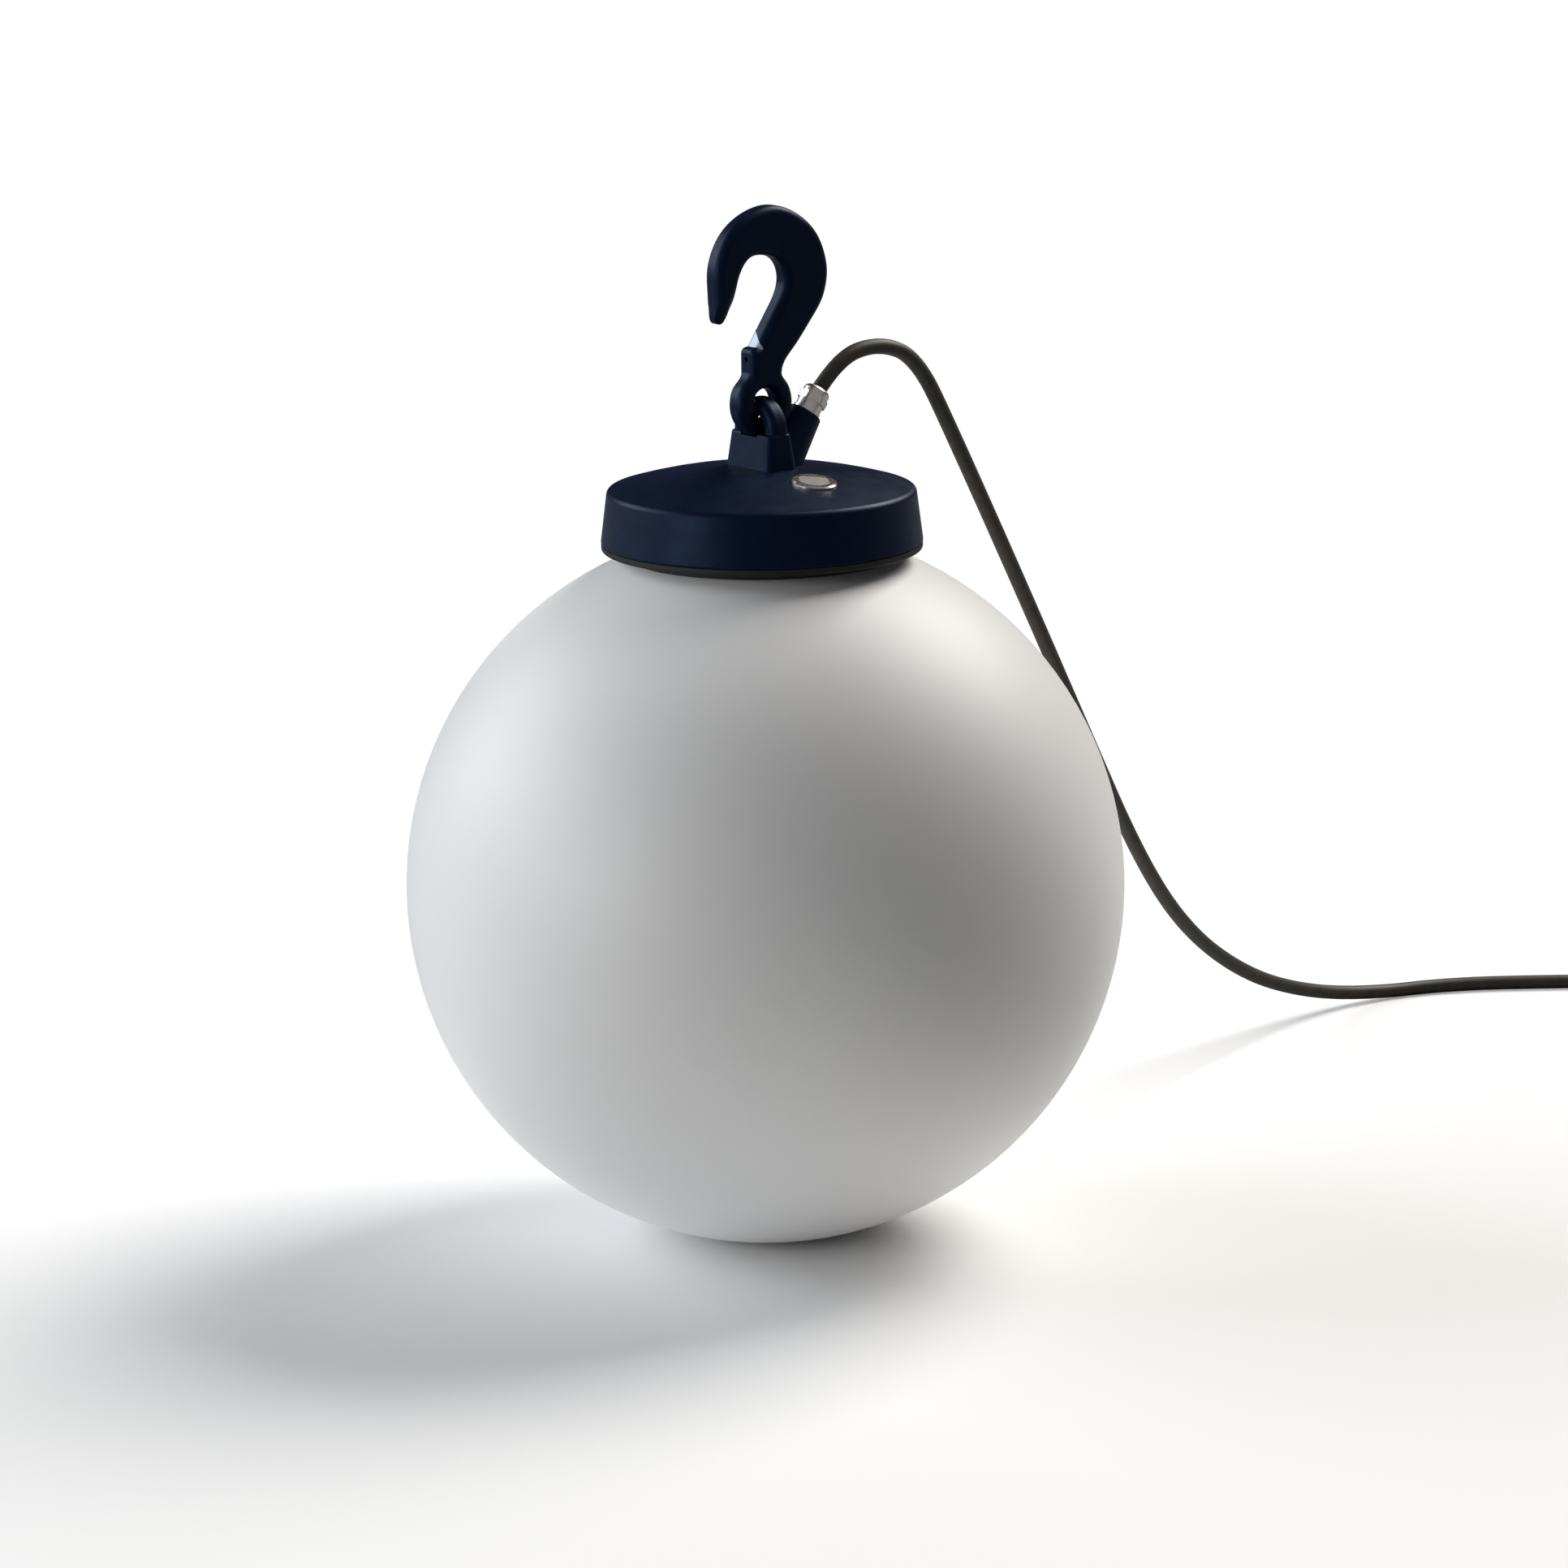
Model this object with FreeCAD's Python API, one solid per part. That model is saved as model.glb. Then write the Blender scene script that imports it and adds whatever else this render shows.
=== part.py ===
"""Garden globe light: an opal globe under a dark metal cap with an eye hook and a mains cable.

The globe stands on its small flat foot, or the light hangs by the hook. Units are millimetres.
+Z is up and the origin is on the ground under the globe's axis. The hook lies in the XZ plane.
The cable leaves towards +X, and the push button is on the -Y side of the cap.
"""

import FreeCAD
import Part
import math
import os

Vec = FreeCAD.Vector
ORIGIN = Vec(0, 0, 0)
X_AXIS = Vec(1, 0, 0)
Y_AXIS = Vec(0, 1, 0)
Z_AXIS = Vec(0, 0, 1)

# Clearances
FLAT_GAP = 0.3          # between faces that turn past each other
SCREW_GAP = 0.1         # round a screw's shank
RUNNING_GAP = 0.08      # round a piece that slides in a bore

# Globe
GLOBE_R = 150.0
GLOBE_WALL = 3.0
FOOT_R = 24.0           # flat circle that the globe stands on
NECK_R = 50.0
NECK_WALL = 3.0
NECK_LENGTH = 14.0      # from the ball to the rim

# Bayonet between globe and cap
LUG_COUNT = 3
LUG_LENGTH_DEG = 22.0
LUG_REACH = 3.4
LUG_H = 4.0
LUG_AZ = 0.0
TWIST_DEG = 30.0        # turn from locked to free
LEDGE_H = 3.0
LEDGE_DROP = 11.5       # from the tray down to the ledge's underside
NECK_ROOM = 0.5         # between the neck and the ledge
LUG_ROOM = 0.6          # between the lugs and the ring's wall
RING_WALL = 2.8
RING_FLANGE_H = 2.5
STOP_DEG = 4.0

# Cap shell
SKIRT_DROP = 11.5       # from the tray down to the cap's lower edge
SKIRT_H = 22.2          # up to where skirt and dome would meet without the rounding
SKIRT_FLARE = 2.8       # by which the lower edge is wider
DOME_RISE = 9.6
CAP_WALL = 2.8
RIM_ROUND = 2.6
LIP_ROUND = 0.9
LIP_INNER_ROUND = 0.5
POST_R = 3.4

# Tray over the neck
TRAY_GAP = 1.5          # from the neck's rim up to the tray
TRAY_T = 1.8
TRAY_EDGE = 1.2         # between its screw holes and its edge
TRAY_FIT = 0.3          # between its edge and the cap

# Screws: shank radius, head radius, head height
RING_SCREW = (1.5, 2.4, 2.0)
RING_SCREW_AZ = 80.0
RING_SCREW_LENGTH = 9.0
BRACKET_SCREW = (2.5, 4.2, 2.6)
BRACKET_SCREW_Y = 8.8
BRACKET_SCREW_LENGTH = 12.0
HOLDER_SCREW = (1.5, 2.8, 2.0)
HOLDER_SCREW_Y = 12.0
HOLDER_SCREW_LENGTH = 9.0
EARTH_SCREW = (2.0, 3.6, 2.6)
EARTH_AT = (24.0, 24.0)
EARTH_SCREW_LENGTH = 6.0

# Seal between cap and globe
SEAL_RISE = 3.5         # above the cap's lower edge
SEAL_INSET = 1.0        # inside the cap's wall at its lower edge
SEAL_BAND_H = 2.8       # band that shows under the cap's lower edge
SEAL_BAND_INSET = 0.2   # by which the band is smaller than that edge
SEAL_BAND_ROUND = 1.2
SEAL_ROOM = 0.6         # between the globe's lugs and the seal's lip
SEAL_LIP = 1.8          # width of the lip that rests on the globe

# Bracket on the cap: pedestal, bail and inclined cable boss
PEDESTAL_TOP = (12.5, 27.3)
PEDESTAL_BASE = (17.0, 30.3)
PEDESTAL_H = 14.3       # above the dome's top
PEDESTAL_DEPTH = 3.3    # below the dome's top, before the dome trims it
PEDESTAL_CORNER_R = 3.6
PEDESTAL_EDGE_R = 1.0
BAIL_LIFT = 0.9         # from the pedestal's top to the centre of the bail's arch
BAIL_IN_R = 6.5
BAIL_BAR = 7.15         # bar size along the bail's radius
BAIL_WIDTH = 9.2        # bar size along X
BAIL_EDGE_R = 3.0
BAIL_LEG = 3.0
BOSS_FACE_X = 23.4
BOSS_FACE_H = 19.5      # above the dome's top
BOSS_TILT_DEG = 38.0
BOSS_R = 7.2
BOSS_TAPER_DEG = 7.0
BOSS_LENGTH = 36.0
BOSS_EDGE_R = 0.8
BOSS_BORE_R = 4.3

# Hook, with heights counted from the centre of its eye
EYE_LIFT = 11.7         # above the pedestal's top
EYE_R = 14.1
EYE_HOLE_R = 6.4
HOOK_T = 10.0
HOOK_EDGE_R = 3.4
HOOK_SPANS = 9          # curves that its outline is made of
TIP_AT = (-22.1, 37.6)
TIP_R = 2.75
HOOK_BACK = [
    (9.0, 12.4), (10.0, 15.6), (14.8, 21.2), (20.4, 27.4), (25.6, 33.7), (30.2, 40.0), (32.6, 46.5),
    (33.3, 52.2), (31.9, 60.0), (28.4, 67.6), (22.2, 74.3), (15.2, 78.7), (6.2, 81.4),
]
HOOK_FRONT = [
    (-3.4, 80.3), (-11.5, 76.8), (-18.2, 71.3), (-22.8, 64.0), (-25.0, 56.0), (-24.9, 48.0), (-24.8, 41.5),
]
HOOK_BOWL = [
    (-17.3, 40.3), (-14.9, 44.6), (-13.4, 50.9), (-11.2, 56.5), (-6.6, 60.9), (0.3, 61.4), (6.6, 59.3),
    (10.2, 54.7), (11.0, 50.2), (9.6, 44.7), (5.7, 38.3),
]
HOOK_THROAT = [(0.9, 31.2), (-3.0, 25.2), (-5.9, 20.0), (-6.9, 15.4)]
EYE_EDGE_R = 3.0
EYE_GAP = 0.4
LATCH_LUG_X = (-7.4, 4.0)
LATCH_LUG_Z = (11.0, 23.6)
LATCH_LUG_EDGE_R = 2.6
LUG_HOLE_R = 1.0
LUG_HOLE_DEPTH = 3.4
LUG_HOLE_Z = 18.8

# Cable gland
GLAND_FLANGE_R = 5.9
GLAND_FLANGE_H = 1.6
GLAND_BODY_R = 5.6
GLAND_BODY_TOP = 4.8
GLAND_THREAD_R = 5.0
GLAND_THREAD_LENGTH = 8.0
GLAND_STUB_R = 4.75
GLAND_STUB_TOP = 7.0
GLAND_BORE_R = 3.5
GLAND_SEAL_R = 4.25
GLAND_SEAL_BOTTOM = 4.2
GLAND_SEAL_TOP = 9.0
GLAND_HEX = 11.7        # across flats
GLAND_HEX_CORNER_R = 6.35
GLAND_HEX_TOP = 7.9
GLAND_DOME_R = 5.7
GLAND_TOP = 11.6
GLAND_DOME_ROUND = 2.0
GLAND_ORING_T = 0.6

# Push button on the dome
BUTTON_Y = -35.0
BEZEL_R = 9.35
BEZEL_H = 1.1
BEZEL_BEVEL = 0.6
BARREL_R = 8.0
BARREL_LENGTH = 13.0
BUTTON_R = 6.6
BUTTON_RECESS = 0.35
BUTTON_LENGTH = 6.0
BUTTON_TRAVEL = 1.2
STEM_R = 2.2
STEM_LENGTH = 4.2
SWITCH_R = 7.6
SWITCH_TOP = -8.5
SWITCH_BOTTOM = -26.0
SWITCH_TAG = (0.8, 2.8, 4.0)
SWITCH_TAG_X = 3.2
BUTTON_NUT_FLATS = 19.0
BUTTON_NUT_H = 3.0
BUTTON_ORING_T = 0.5

# Lamp holder and lamp
HOLDER_R = 20.0
HOLDER_LENGTH = 52.0
HOLDER_BORE_R = 14.2
HOLDER_BORE_DEPTH = 39.0
HOLDER_ENTRY_RISE = 4.0     # from the bore's end up to the holes for the leads
SHELL_T = 0.5
SHELL_LENGTH = 28.0
LAMP_BASE_R = 13.1
LAMP_BASE_T = 0.5
LAMP_BASE_LENGTH = 24.0
LAMP_TIP_R = 4.8
LAMP_TIP_H = 2.6
LAMP_NECK_R = 13.6
LAMP_R = 30.0
LAMP_BODY_LENGTH = 40.0
LAMP_DOME_LENGTH = 44.0
LAMP_DOME_WALL = 1.2
CONTACT_T = 0.6
CONTACT_W = 6.0

# Wiring
BLOCK_AT = (-26.0, 0.0)
BLOCK_SIZE = (11.0, 26.0, 9.0)
BLOCK_PITCH = 8.0
BLOCK_SCREW_R = 1.6
BLOCK_SCREW_PROUD = 0.5
BLOCK_SCREW_LENGTH = 3.0
LEAD_R = 1.0
LEAD_HOLE_R = 1.6
LEAD_BEND_R = 3.0
LEAD_LIFT = 4.5         # above the tray, where the leads meet the terminal block

# Cable
CABLE_R = 3.3
CABLE_START = 8.0       # below the top of the gland nut, inside the gland
SHEATH_LENGTH = 16.0    # sheath between that point and its cut end in the boss

# Route of the free cable after its straight start out of the gland: over its arch, down behind
# the globe, onto the ground and to the coil
CABLE_FIRST_RUN = 22.6
CABLE_POINTS = [
    (62.9, 0.0, 370.2),
    (83.4, 0.0, 361.6),
    (103.0, 0.5, 327.3),
    (137.9, 1.4, 263.2),
    (187.2, 17.6, 191.0),
    (244.8, 42.6, 115.0),
    (297.8, 69.3, 67.5),
    (355.7, 92.6, 33.0),
    (410.9, 110.4, 12.3),
    (457.2, 114.2, 3.3),
    (498.9, 102.6, 3.3),
    (544.6, 70.1, 3.3),
    (581.5, 39.2, 3.3),
    (612.0, 15.5, 4.5),
]

# Coil of the cable that is put away
COIL_MID_R = 41.0
COIL_WIDE = 5
COIL_HIGH = 4
COIL_FLOOR_GAP = 1.2
COIL_EDGE_R = 3.0
ENTRY_AZ = 52.2         # where the cable runs into the outermost turn
EXIT_AZ = -60.0         # where it leaves the top layer
TIE_AZ = (140.0, 240.0)
TIE_WIDTH = 4.8

# Short end from the coil to the plug: distance along, offset outwards, height
TAIL_STEPS = [(0.0, 0.0, 24.3), (14.0, 0.4, 23.9), (28.0, 1.8, 19.0), (42.0, 3.6, 18.5)]

# Mains plug
PLUG_R = 18.5
PLUG_FACE_H = 16.0
PLUG_LENGTH = 36.0
PLUG_BACK_R = 10.5
RELIEF_LENGTH = 25.0
RELIEF_R = (4.6, 7.0)
PIN_R = 2.4
PIN_LENGTH = 19.0
PIN_SPACING = 19.0
PIN_ROOT = 8.0
CLIP_SIZE = (4.0, 1.2, 14.0)
CLIP_SET_IN = 1.6

# Worked out from the sizes above
GLOBE_Z = math.sqrt(GLOBE_R ** 2 - FOOT_R ** 2)
NECK_TOP_Z = GLOBE_Z + math.sqrt(GLOBE_R ** 2 - NECK_R ** 2) + NECK_LENGTH
TRAY_Z = NECK_TOP_Z + TRAY_GAP
CAP_BOTTOM_Z = TRAY_Z - SKIRT_DROP
CAP_RIM_Z = CAP_BOTTOM_Z + SKIRT_H
SEAL_TOP_Z = CAP_BOTTOM_Z + SEAL_RISE
GLOBE_CENTRE = Vec(0, 0, GLOBE_Z)
LEDGE_IN_R = NECK_R + NECK_ROOM
RING_IN_R = NECK_R + LUG_REACH + LUG_ROOM
RING_OUT_R = RING_IN_R + RING_WALL
RING_SCREW_PCR = RING_OUT_R + RING_SCREW[1] + SCREW_GAP
TRAY_R = RING_SCREW_PCR + RING_SCREW[0] + TRAY_EDGE
TRAY_TOP_Z = TRAY_Z + TRAY_T
SKIRT_SLOPE = SKIRT_FLARE / SKIRT_H
CAP_RIM_R = TRAY_R + TRAY_FIT + CAP_WALL - SKIRT_SLOPE * (CAP_RIM_Z - TRAY_TOP_Z)
CAP_BOTTOM_R = CAP_RIM_R + SKIRT_FLARE
SEAL_R = CAP_BOTTOM_R - CAP_WALL - SEAL_INSET
SEAL_BAND_R = CAP_BOTTOM_R - SEAL_BAND_INSET
SEAL_BAND_Z = CAP_BOTTOM_Z - SEAL_BAND_H
SEAL_IN_R = NECK_R + LUG_REACH + SEAL_ROOM
DOME_R = (CAP_RIM_R ** 2 + DOME_RISE ** 2) / (2 * DOME_RISE)
APEX_Z = CAP_RIM_Z + DOME_RISE
PEDESTAL_TOP_Z = APEX_Z + PEDESTAL_H
PEDESTAL_BASE_Z = APEX_Z - PEDESTAL_DEPTH
BAIL_Z = PEDESTAL_TOP_Z + BAIL_LIFT
EYE_Z = PEDESTAL_TOP_Z + EYE_LIFT
BOSS_FACE = Vec(BOSS_FACE_X, 0, APEX_Z + BOSS_FACE_H)
DOME_CENTRE = Vec(0, 0, APEX_Z - DOME_R)
LEDGE_Z = TRAY_Z - LEDGE_DROP
LUG_Z = LEDGE_Z + LEDGE_H + FLAT_GAP
LEAD_Z = TRAY_TOP_Z + LEAD_LIFT
TILT = math.radians(BOSS_TILT_DEG)
BOSS_AXIS = Vec(math.sin(TILT), 0, math.cos(TILT))
BUTTON_AXIS = Vec(0, BUTTON_Y / DOME_R, math.sqrt(1 - (BUTTON_Y / DOME_R) ** 2))
BUTTON_AT = DOME_CENTRE + BUTTON_AXIS * DOME_R
CABLE_D = 2 * CABLE_R
COIL_OUT_R = COIL_MID_R + COIL_WIDE * CABLE_R
COIL_IN_R = COIL_MID_R - COIL_WIDE * CABLE_R
OUTER_TURN_R = COIL_OUT_R - CABLE_R
HOLDER_BOTTOM_Z = TRAY_Z - HOLDER_LENGTH
HOLDER_BORE_TOP_Z = HOLDER_BOTTOM_Z + HOLDER_BORE_DEPTH
HOLDER_ENTRY_Z = HOLDER_BORE_TOP_Z + HOLDER_ENTRY_RISE


def at_azimuth(radius, degrees, z=0.0):
    angle = math.radians(degrees)
    return Vec(radius * math.cos(angle), radius * math.sin(angle), z)


def cylinder(radius, z_low, z_high, x=0.0, y=0.0):
    return Part.makeCylinder(radius, z_high - z_low, Vec(x, y, z_low))


def ring(r_out, r_in, z_low, z_high):
    return cylinder(r_out, z_low, z_high).cut(cylinder(r_in, z_low - 1, z_high + 1))


def ring_sector(r_in, r_out, z_low, z_high, start, length):
    """Part of a ring, from azimuth start over length degrees."""
    corners = [Vec(r_in, 0, z_low), Vec(r_out, 0, z_low), Vec(r_out, 0, z_high), Vec(r_in, 0, z_high)]
    face = Part.Face(Part.makePolygon(corners + corners[:1]))
    sector = face.revolve(ORIGIN, Z_AXIS, length)
    sector.rotate(ORIGIN, Z_AXIS, start)
    return sector


def revolved(profile):
    """Solid of revolution about Z from a closed outline of (radius, z) points."""
    corners = [Vec(r, 0, z) for r, z in profile]
    face = Part.Face(Part.makePolygon(corners + corners[:1]))
    return Part.Solid(face.revolve(ORIGIN, Z_AXIS, 360))


def hex_prism(across_flats, z_low, z_high):
    corner_r = across_flats / math.sqrt(3)
    corners = [at_azimuth(corner_r, 60 * k + 30, z_low) for k in range(6)]
    return Part.Face(Part.makePolygon(corners + corners[:1])).extrude(Vec(0, 0, z_high - z_low))


def rounded_rectangle(size_x, size_y, corner_r, z):
    """Closed wire of a rounded rectangle about the Z axis."""
    half_x = size_x / 2 - corner_r
    half_y = size_y / 2 - corner_r
    centres = [(half_x, half_y), (-half_x, half_y), (-half_x, -half_y), (half_x, -half_y)]
    edges = []
    for k, (x, y) in enumerate(centres):
        start, middle, end = (Vec(x, y, z) + at_azimuth(corner_r, 90 * k + step) for step in (0, 45, 90))
        next_x, next_y = centres[(k + 1) % 4]
        next_start = Vec(next_x, next_y, z) + at_azimuth(corner_r, 90 * k + 90)
        edges.append(Part.Arc(start, middle, end).toShape())
        edges.append(Part.LineSegment(end, next_start).toShape())
    return Part.Wire(edges)


def placed(shape, origin, axis, spin=0.0):
    """Copy of a shape that was made along +Z, moved to origin with its Z along axis."""
    copy = shape.copy()
    copy.rotate(ORIGIN, Z_AXIS, spin)
    copy.Placement = FreeCAD.Placement(origin, FreeCAD.Rotation(Z_AXIS, axis)) * copy.Placement
    return copy


def spaced_round(shape, count, start=0.0):
    """Copies of a shape, turned about Z in equal steps."""
    copies = []
    for k in range(count):
        copy = shape.copy()
        copy.rotate(ORIGIN, Z_AXIS, start + 360.0 / count * k)
        copies.append(copy)
    return copies


def filleted(shape, radius, wanted):
    """The shape with every edge that wanted(edge) picks rounded."""
    return shape.makeFillet(radius, [edge for edge in shape.Edges if wanted(edge)])


def circle_of(edge):
    """The circle that an edge follows, or None for any other edge."""
    if edge.Degenerated:
        return None
    return edge.Curve if isinstance(edge.Curve, Part.Circle) else None


def circle_at(edge, radius, z, tolerance=0.05):
    """Whether an edge is a level circle of that radius and height."""
    circle = circle_of(edge)
    return (
        circle is not None
        and abs(circle.Radius - radius) < tolerance
        and abs(circle.Center.z - z) < tolerance
        and abs(abs(circle.Axis.z) - 1) < 1e-6
    )


def screw(sizes, length):
    """Pan-head screw: its head stands on z = 0 and its shank goes up."""
    shank_r, head_r, head_h = sizes
    head = cylinder(head_r, -head_h, 0)
    head = filleted(head, 0.35 * head_h, lambda edge: circle_at(edge, head_r, -head_h))
    slot = Part.makeBox(2 * head_r, 0.3 * head_r, 0.4 * head_h, Vec(-head_r, -0.15 * head_r, -head_h))
    return head.cut(slot).fuse(cylinder(shank_r, 0, length)).removeSplitter()


def path_of(points, bend_r=None):
    """Straight runs joined by tangent arcs, and a list of the arcs' radii.

    With no bend_r each arc is as large as its two runs allow.
    """
    edges, radii = [], []
    here = points[0]
    for before, corner, after in zip(points, points[1:], points[2:]):
        come = corner - before
        leave = after - corner
        turn = come.getAngle(leave)
        reach = 0.45 * min(come.Length, leave.Length)
        if bend_r is not None:
            reach = min(reach, bend_r * math.tan(turn / 2))
        start = corner - Vec(come).normalize() * reach
        end = corner + Vec(leave).normalize() * reach
        radius = reach / math.tan(turn / 2)
        inward = (Vec(leave).normalize() - Vec(come).normalize()).normalize()
        middle = corner + inward * (radius / math.cos(turn / 2) - radius)
        edges.append(Part.LineSegment(here, start).toShape())
        edges.append(Part.Arc(start, middle, end).toShape())
        radii.append(radius)
        here = end
    edges.append(Part.LineSegment(here, points[-1]).toShape())
    return Part.Wire(edges), radii


def tube(points, radius, bend_r=None, name=None):
    """Round bar along a route. With a name it prints the route's bends and length."""
    wire, radii = path_of(points, bend_r)
    first = points[1] - points[0]
    profile = Part.Wire([Part.Circle(points[0], first, radius).toShape()])
    bar = wire.makePipeShell([profile], True, False)
    if name:
        share = bar.Volume / (math.pi * radius ** 2 * wire.Length)
        print(name, "length", round(wire.Length, 1), "volume share", round(share, 4))
        print(name, "radii", [round(r, 1) for r in radii])
    return bar


def made_globe():
    outside = Part.makeSphere(GLOBE_R, GLOBE_CENTRE).common(cylinder(2 * GLOBE_R, 0, 3 * GLOBE_R))
    outside = outside.fuse(cylinder(NECK_R, GLOBE_Z, NECK_TOP_Z))
    inside = Part.makeSphere(GLOBE_R - GLOBE_WALL, GLOBE_CENTRE)
    inside = inside.common(cylinder(2 * GLOBE_R, GLOBE_WALL, 3 * GLOBE_R))
    globe = outside.cut(inside).cut(cylinder(NECK_R - NECK_WALL, GLOBE_Z, NECK_TOP_Z + 1))
    for k in range(LUG_COUNT):
        start = LUG_AZ + 360.0 / LUG_COUNT * k - LUG_LENGTH_DEG / 2
        lug = ring_sector(NECK_R - 1, NECK_R + LUG_REACH, LUG_Z, LUG_Z + LUG_H, start, LUG_LENGTH_DEG)
        globe = globe.fuse(lug)
    return globe.removeSplitter()


def made_bayonet_ring():
    """Ring under the tray: a ledge that carries the lugs, a wall and a screw flange."""
    body = ring(RING_OUT_R, LEDGE_IN_R, LEDGE_Z, LEDGE_Z + LEDGE_H)
    body = body.fuse(ring(RING_OUT_R, RING_IN_R, LEDGE_Z, TRAY_Z))
    body = body.fuse(ring(TRAY_R, RING_IN_R, TRAY_Z - RING_FLANGE_H, TRAY_Z))
    notch_half = LUG_LENGTH_DEG / 2 + 2.0
    stop_half = LUG_LENGTH_DEG / 2 + 0.6
    for k in range(LUG_COUNT):
        centre = LUG_AZ + 360.0 / LUG_COUNT * k
        notch = ring_sector(
            LEDGE_IN_R - 1, RING_IN_R, LEDGE_Z - 1, LEDGE_Z + LEDGE_H + 0.01,
            centre + TWIST_DEG - notch_half, 2 * notch_half,
        )
        body = body.cut(notch)
        for start in (centre - stop_half - STOP_DEG, centre + TWIST_DEG + stop_half):
            stop = ring_sector(LEDGE_IN_R, RING_IN_R + 1, LEDGE_Z, LUG_Z + LUG_H, start, STOP_DEG)
            body = body.fuse(stop)
    hole = cylinder(RING_SCREW[0] + SCREW_GAP, LEDGE_Z, TRAY_Z + 1, RING_SCREW_PCR)
    for cutter in spaced_round(hole, LUG_COUNT, RING_SCREW_AZ):
        body = body.cut(cutter)
    return body.removeSplitter()


def dome_ball(offset=0.0):
    return Part.makeSphere(DOME_R + offset, DOME_CENTRE)


def skirt_cone(offset, z_low):
    """Tapered block inside the skirt's outline, moved inwards by offset."""
    z_high = APEX_Z + 5
    low_r = CAP_BOTTOM_R - SKIRT_SLOPE * (z_low - CAP_BOTTOM_Z) - offset
    high_r = CAP_BOTTOM_R - SKIRT_SLOPE * (z_high - CAP_BOTTOM_Z) - offset
    return Part.makeCone(low_r, high_r, z_high - z_low, Vec(0, 0, z_low))


def made_cap_shell():
    outside = skirt_cone(0, CAP_BOTTOM_Z).common(dome_ball())
    rim_z = (CAP_BOTTOM_Z + CAP_RIM_Z) / 2
    outside = filleted(outside, RIM_ROUND, lambda edge: circle_of(edge) and circle_of(edge).Center.z > rim_z)
    inside = skirt_cone(CAP_WALL, CAP_BOTTOM_Z - 1).common(dome_ball(-CAP_WALL))
    shell = outside.cut(inside)
    inner_r = CAP_BOTTOM_R - CAP_WALL
    shell = filleted(shell, LIP_ROUND, lambda edge: circle_at(edge, CAP_BOTTOM_R, CAP_BOTTOM_Z))
    shell = filleted(shell, LIP_INNER_ROUND, lambda edge: circle_at(edge, inner_r, CAP_BOTTOM_Z))
    post = cylinder(POST_R, TRAY_TOP_Z, APEX_Z, RING_SCREW_PCR).common(outside)
    screw_tip = TRAY_Z - RING_FLANGE_H + RING_SCREW_LENGTH
    screw_room = cylinder(RING_SCREW[0] + SCREW_GAP, TRAY_TOP_Z - 1, screw_tip + 0.5, RING_SCREW_PCR)
    for one in spaced_round(post, LUG_COUNT, RING_SCREW_AZ):
        shell = shell.fuse(one)
    for one in spaced_round(screw_room, LUG_COUNT, RING_SCREW_AZ):
        shell = shell.cut(one)
    bracket_hole = cylinder(BRACKET_SCREW[0] + SCREW_GAP, TRAY_TOP_Z, APEX_Z + 1, 0, BRACKET_SCREW_Y)
    for one in spaced_round(bracket_hole, 2):
        shell = shell.cut(one)
    shell = shell.cut(boss_bore())
    shell = shell.cut(placed(cylinder(BARREL_R + SCREW_GAP, -2 * CAP_WALL, 5), BUTTON_AT, BUTTON_AXIS))
    return shell.removeSplitter()


def made_cap_seal():
    """Sleeve round the bayonet ring, a band under the cap's edge and a lip down to the globe."""
    band = ring(SEAL_BAND_R, SEAL_IN_R, SEAL_BAND_Z, CAP_BOTTOM_Z)
    band = filleted(band, SEAL_BAND_ROUND, lambda edge: circle_at(edge, SEAL_BAND_R, SEAL_BAND_Z))
    lip = ring(SEAL_IN_R + SEAL_LIP, SEAL_IN_R, GLOBE_Z, SEAL_BAND_Z)
    seal = band.fuse(ring(SEAL_R, RING_OUT_R, SEAL_BAND_Z, SEAL_TOP_Z)).fuse(lip)
    seal = seal.cut(Part.makeSphere(GLOBE_R + FLAT_GAP, GLOBE_CENTRE))
    return seal.removeSplitter()


def boss_bore():
    return placed(cylinder(BOSS_BORE_R, -BOSS_LENGTH - 8, 1), BOSS_FACE, BOSS_AXIS)


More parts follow.
